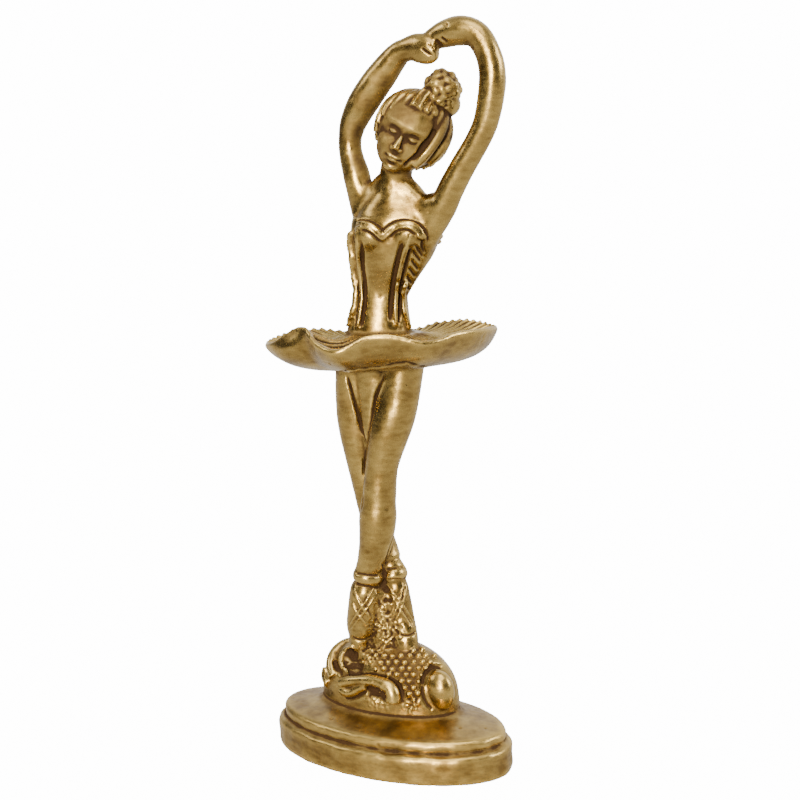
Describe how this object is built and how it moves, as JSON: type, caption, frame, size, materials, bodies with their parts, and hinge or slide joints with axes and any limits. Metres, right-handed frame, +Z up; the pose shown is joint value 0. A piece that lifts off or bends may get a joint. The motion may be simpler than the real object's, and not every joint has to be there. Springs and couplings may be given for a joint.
{
  "type": "ballerina figurine",
  "caption": "Cast brass ballerina with arms raised in a ring, in a pleated tutu with crossed legs, standing on a rocky mound on a stepped oval plinth.",
  "frame": {"origin": "centre of the plinth's flat underside", "axes": "+Z up through the dancer, +X along the plinth's long axis towards the dancer's left, the dancer faces -Y"},
  "size_m": [0.0654, 0.0559, 0.1805],
  "materials": {
    "antique_brass": "hand-brushed cast brass with dark patina left in the recesses"
  },
  "bodies": {
    "root": {"ballerina_figurine": "antique_brass"}
  },
  "joints": []
}
